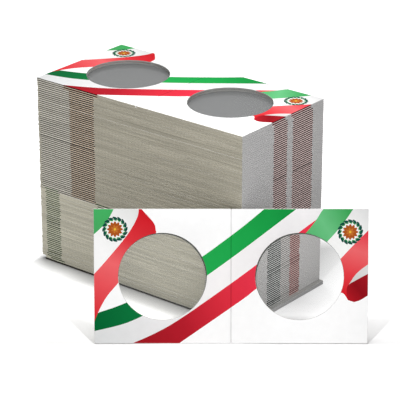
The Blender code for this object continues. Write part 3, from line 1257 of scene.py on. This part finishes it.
def stack_mesh(name, cards, chance):
    """One mesh of several cards: cards is a list of (shape, place along X, height)."""
    co, polygons, names, count = [], [], [], 0
    for shape, x, z in cards:
        co.append(pushed_card(shape, chance, x, z))
        polygons += [[count + i for i in face] for face in shape[1]]
        names += shape[2]
        count += len(shape[0])
    mesh = bpy.data.meshes.new(name)
    mesh.from_pydata(np.vstack(co) * MM, [], polygons)
    used = sorted(set(names))
    for finish in used:
        mesh.materials.append(ALL_FINISHES[finish])
    mesh.polygons.foreach_set("material_index", [used.index(finish) for finish in names])
    mesh.update()
    smooth(mesh)
    return mesh


def pair_cards(node, shapes):
    """The two cards that a pair in the frame stands for."""
    low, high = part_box(node)
    middle = (low.x + high.x) / 2 / MM
    return [(shape, middle, (low.z + i * PITCH) / MM) for i, shape in enumerate(shapes)]


print("A card is pushed back by up to", PUSH_Y[1], "mm")

# %% [markdown]
# Each piece of the pile is named for the cards it holds, counted from the bottom. The top card of
# each pile is left out here, because the next step prints it in full.

# %% Stack the cards
PAIRS_IN_PIECE = 2


def stack_name(prefix, lowest, count):
    if count == 1:
        return f"{prefix}_card_{lowest:02d}"
    return f"{prefix}_cards_{lowest:02d}_to_{lowest + count - 1:02d}"


def stack_pile(body, prefix, pairs, shape, lowest, seed):
    """All cards of a pile but its top one. Lowest gives the two shapes of its lowest pair."""
    chance = random.Random(seed)
    for first in range(1, pairs + 1, PAIRS_IN_PIECE):
        numbers = range(first, min(first + PAIRS_IN_PIECE, pairs + 1))
        nodes = [f"{prefix}_holders_{number:02d}" for number in numbers]
        cards = [card for number, node in zip(numbers, nodes)
                 for card in pair_cards(node, lowest if number == 1 else [shape] * 2)]
        if numbers[-1] == pairs:
            cards.pop()
        name = stack_name(prefix, 2 * first - 1, len(cards))
        piece = add_piece(name, stack_mesh(name, cards, chance))
        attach(piece, body)
        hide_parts(*nodes)


UPPER_PAIRS = sum(name.startswith("upper_holders") for name in frame["nodes"])
LOWER_PAIRS = sum(name.startswith("lower_holders") for name in frame["nodes"])
stack_pile("upper_pile", "upper", UPPER_PAIRS, upper_template, [upper_template] * 2, seed=11)
stack_pile("lower_pile", "lower", LOWER_PAIRS, lower_template, [lowest_template, ledge_template], seed=23)
print("Stacked", 2 * (UPPER_PAIRS + LOWER_PAIRS) - 2, "cards")

# %% [markdown]
# The top card of each pile shows its face once the holder on it or the upper pile is lifted away.
# So these two are printed in full, with lines along the score between their leaves, where the print
# takes the painted shade of the score.

# %% The printed top card of each pile
def add_top_card(body, prefix, pairs, shapes):
    name = f"{prefix}_card_{2 * pairs:02d}_printed"
    pressed = [HALF_SCORE * share for share in (-1, -0.5, 0, 0.5, 1)]
    lines = [((x, -BEYOND), (x, LEAF_MM + BEYOND)) for x in pressed]
    low, high = (-LEAF_MM, 0), (LEAF_MM, LEAF_MM)
    mesh = print_card(name, low, high, WINDOW_CENTRES, shapes, lines=lines, film=True)
    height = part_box(f"{prefix}_holders_{pairs:02d}")[0].z + PITCH
    card = add_piece(name, mesh, Matrix.Translation((0, -LEAF / 2, height)))
    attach(card, body)
    print(card.name, "has", len(mesh.polygons), "faces")


add_top_card("upper_pile", "upper", UPPER_PAIRS, RIBBON_PRINT)
add_top_card("lower_pile", "lower", LOWER_PAIRS, DIP_PRINT)

# %% [markdown]
# The room is a plain studio: a large pale floor, an even white surround and three lamps. The surround
# is white to the camera, and to gloss and film, and dimmer as a light, so that colours render about as
# they are written. The key lamp hangs over the pile, a little behind it, so that the pile keeps short
# soft shadows at its foot. A small lamp above the leaning card throws the card's own shadow, which
# spreads past its lower corners. A wide fill lamp in front keeps the pile's sides from going dark.

# %% Surround and lamps
SURROUND_LIGHT = 0.36  # as a light; to the camera, gloss and film it is 1
# lamp: (place, aim, width, depth, watts)
LAMPS = {
    "key_lamp": ((-0.12, 0.08, 0.95), (0, 0, 0), 0.12, 0.12, 3.0),
    "card_lamp": ((0.0723, -0.0585, 0.262), (0.0558, -0.0379, 0), 0.005, 0.015, 0.24),
    "fill_lamp": ((0.6, -0.75, 0.25), (0, 0, 0.03), 0.5, 0.5, 2.4),
}


def seen_rays(tree):
    """1 for rays from the camera, from gloss and from film, else 0."""
    rays = add_node(tree, "ShaderNodeLightPath").outputs
    seen = math_node(tree, "MAXIMUM", rays["Is Camera Ray"], rays["Is Glossy Ray"])
    return math_node(tree, "MAXIMUM", seen, rays["Is Transmission Ray"])


def light_surround():
    world = bpy.data.worlds.new("surround")
    bpy.context.scene.world = world
    world.use_nodes = True
    tree = world.node_tree
    background = tree.nodes["Background"]
    background.inputs["Color"].default_value = (1, 1, 1, 1)
    tree.links.new(span(tree, seen_rays(tree), 0, 1, SURROUND_LIGHT, 1.0), background.inputs["Strength"])


def add_lamp(name, location, aim, width, depth, watts):
    lamp = bpy.data.objects.new(name, bpy.data.lights.new(name, "AREA"))
    bpy.context.scene.collection.objects.link(lamp)
    lamp.data.shape = "RECTANGLE"
    lamp.data.size = width
    lamp.data.size_y = depth
    lamp.data.energy = watts
    lamp.location = location
    lamp.rotation_euler = (Vector(aim) - Vector(location)).to_track_quat("-Z", "Y").to_euler()
    lamp.visible_camera = False
    lamp.visible_glossy = False
    return lamp


light_surround()
for name, values in LAMPS.items():
    add_lamp(name, *values)

# %% [markdown]
# In the photograph the paper that everything stands on is bleached to white, but for soft shadows: a
# narrow one along the pile's front foot, a wide one beside its right end, and the leaning card's,
# which pales with the distance behind the card. The lamps give the shadows their place. The floor
# then adds a glow of its own that is weak where those shadows are deepest and strong everywhere else.
# Only the camera, gloss and film see it, so it puts no light on the cards. Each part of the glow is a
# straight ramp over one distance. The first is the narrow shadow at the foot, where there is no glow
# and the paper is darker.

# %% The shadow at the pile's foot
PILE_HALF = (LEAF, LEAF / 2)
FOOT_REACH = 11 * MM
FOOT_DEPTH = 0.45  # share that it takes off the paper's colour
LEFT_FADE = 3 * MM  # it ends this far past the pile's left end
RIGHT_FADE = 12 * MM  # and starts to end this far before the right one


def foot_shade(tree, parts, in_front):
    """1 along the pile's front foot, fading out to the front, past the left end and near the right."""
    near = span(tree, math_node(tree, "ABSOLUTE", in_front), 0, FOOT_REACH, 1, 0)
    right = span(tree, parts["X"], PILE_HALF[0] - RIGHT_FADE, PILE_HALF[0], 1, 0)
    left = span(tree, parts["X"], -PILE_HALF[0] - LEFT_FADE, -PILE_HALF[0], 0, 1)
    return math_node(tree, "MULTIPLY", near, math_node(tree, "MULTIPLY", left, right))


print("Shadow at the foot:", round(FOOT_REACH / MM), "mm wide")

# %% [markdown]
# The open floor is white. Its glow grows with the distance from the leaning card's foot. Left of the
# pile and in front of it, it sets in sooner, because no shadow falls there. Far away the lamps give
# less light, so a little more glow keeps the floor white in every view.

# %% The glow of the open floor
OPEN_GLOW = 0.6
OPEN_SPAN = (66 * MM, 90 * MM)  # from the leaning card's foot
LEFT_RISE = 4  # times faster past the left end than in front
FRONT_SPAN = (28 * MM, 38 * MM)  # in front of the pile, where its early glow ends again
FAR_GLOW = 0.15  # added to it over the far span
FAR_SPAN = (250 * MM, 1000 * MM)


def open_glow(tree, place, parts, in_front):
    """The glow of the open floor: far from the leaning card, past the pile's left end and before it."""
    away = vector_node(tree, "DISTANCE", place, front_place.translation)
    far = span(tree, away, *OPEN_SPAN, 0, OPEN_GLOW)
    past_end = math_node(tree, "SUBTRACT", -PILE_HALF[0], parts["X"])
    outside = math_node(tree, "MAXIMUM", in_front, math_node(tree, "MULTIPLY", past_end, LEFT_RISE))
    rising = span(tree, outside, 0, FOOT_REACH, 0, OPEN_GLOW)
    before = math_node(tree, "MULTIPLY", rising, span(tree, in_front, *FRONT_SPAN, 1, 0))
    near = math_node(tree, "MAXIMUM", far, before)
    return math_node(tree, "ADD", near, span(tree, away, *FAR_SPAN, 0, FAR_GLOW))


print("The open floor glows in full from", round(OPEN_SPAN[1] / MM), "mm")

# %% [markdown]
# Behind the leaning card lies the shadow of the card itself. It is dark at the card's foot and pales
# within two centimetres.

# %% The glow near the leaning card
CARD_GLOW = (0.05, 0.32)  # at the card's foot and further behind it
CARD_GLOW_REACH = 20 * MM
CARD_GLOW_BEFORE = 6  # times faster before the card than behind it


def along_way(tree, place, way, start):
    """How far the place lies from the start, measured along a way."""
    return vector_node(tree, "DOT_PRODUCT", vector_node(tree, "SUBTRACT", place, start), way)


def card_glow(tree, place):
    """The glow near the leaning card: it grows behind the card's foot, and faster before it."""
    behind = Vector((0, 0, 1)).cross(front_place.col[0].xyz)
    away = along_way(tree, place, behind, front_place.translation)
    before = math_node(tree, "MULTIPLY", away, -CARD_GLOW_BEFORE)
    return span(tree, math_node(tree, "MAXIMUM", away, before), 0, CARD_GLOW_REACH, *CARD_GLOW)


print("The card's shadow reaches", round(CARD_GLOW_REACH / MM), "mm")

# %% [markdown]
# The wide shadow beside the pile's right end is a soft round patch. Inside it the paper is darker and
# the glow follows a ramp of its own, which grows away from the pile.

# %% The shadow beside the pile, and all parts together
PAPER = 0.9  # the open floor's own grey
BESIDE_AT = (48 * MM, 32 * MM, 0)
BESIDE_SPAN = (26 * MM, 42 * MM)  # it is full up to the first distance and gone at the second
BESIDE_DEPTH = 0.65  # share that it takes off the paper's colour
BESIDE_WAY = Vector((1, 0.33, 0))
BESIDE_RAMP = (51 * MM, 69 * MM)
BESIDE_GLOW = (0.38, 0.76)


def floor_light(tree, place):
    """(paper, glow) at each place of the floor."""
    parts = add_node(tree, "ShaderNodeSeparateXYZ", {0: place}).outputs
    in_front = math_node(tree, "SUBTRACT", -PILE_HALF[1], parts["Y"])
    foot = foot_shade(tree, parts, in_front)
    beside = span(tree, vector_node(tree, "DISTANCE", place, BESIDE_AT), *BESIDE_SPAN, 1, 0)
    foot_dark = math_node(tree, "MULTIPLY", foot, FOOT_DEPTH)
    side_dark = math_node(tree, "MULTIPLY", beside, BESIDE_DEPTH)
    darker = math_node(tree, "MAXIMUM", foot_dark, side_dark)
    paper = math_node(tree, "MULTIPLY_ADD", darker, -PAPER, PAPER)
    glow = math_node(tree, "MAXIMUM", card_glow(tree, place), open_glow(tree, place, parts, in_front))
    glow = math_node(tree, "MULTIPLY", glow, math_node(tree, "SUBTRACT", 1, foot))
    ramp_glow = span(tree, along_way(tree, place, BESIDE_WAY, (0, 0, 0)), *BESIDE_RAMP, *BESIDE_GLOW)
    links = {"Factor": beside, 2: glow, 3: ramp_glow}
    return paper, add_node(tree, "ShaderNodeMix", links, data_type="FLOAT").outputs[0]


print("Shadow beside the pile:", round(2 * BESIDE_SPAN[1] / MM), "mm across")

# %% [markdown]
# The floor itself is one large square of matt paper, a hair below the lowest card. It is a stage for
# the picture and no piece of the object.

# %% Floor
FLOOR_SIZE = 12.0
FLOOR_DROP = 0.05 * MM


def floor_finish():
    material, tree, shader = new_material("floor_paper", 0.9)
    place = add_node(tree, "ShaderNodeTexCoord").outputs["Object"]
    paper, glow = floor_light(tree, place)
    tree.links.new(paper, shader.inputs["Base Color"])
    shader.inputs["Specular IOR Level"].default_value = 0.0
    shader.inputs["Emission Color"].default_value = (1, 1, 1, 1)
    tree.links.new(math_node(tree, "MULTIPLY", seen_rays(tree), glow), shader.inputs["Emission Strength"])
    return material


def add_floor():
    bm = bmesh.new()
    bmesh.ops.create_grid(bm, x_segments=1, y_segments=1, size=FLOOR_SIZE / 2)
    mesh = to_mesh(bm, "floor")
    mesh.materials.append(floor_finish())
    floor = add_piece("floor", mesh, Matrix.Translation((0, 0, -FLOOR_DROP)))
    floor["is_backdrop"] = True


add_floor()
bpy.context.scene.view_settings.view_transform = "Standard"
print("Floor:", FLOOR_SIZE, "metres square")

# %% Compare sizes and finish
new_low, new_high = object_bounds()
grown = [(a - b) / MM for a, b in zip([*new_low, *new_high], [*cad_low, *cad_high])]
print("Box grows by", [round(change, 2) for change in grown], "mm")
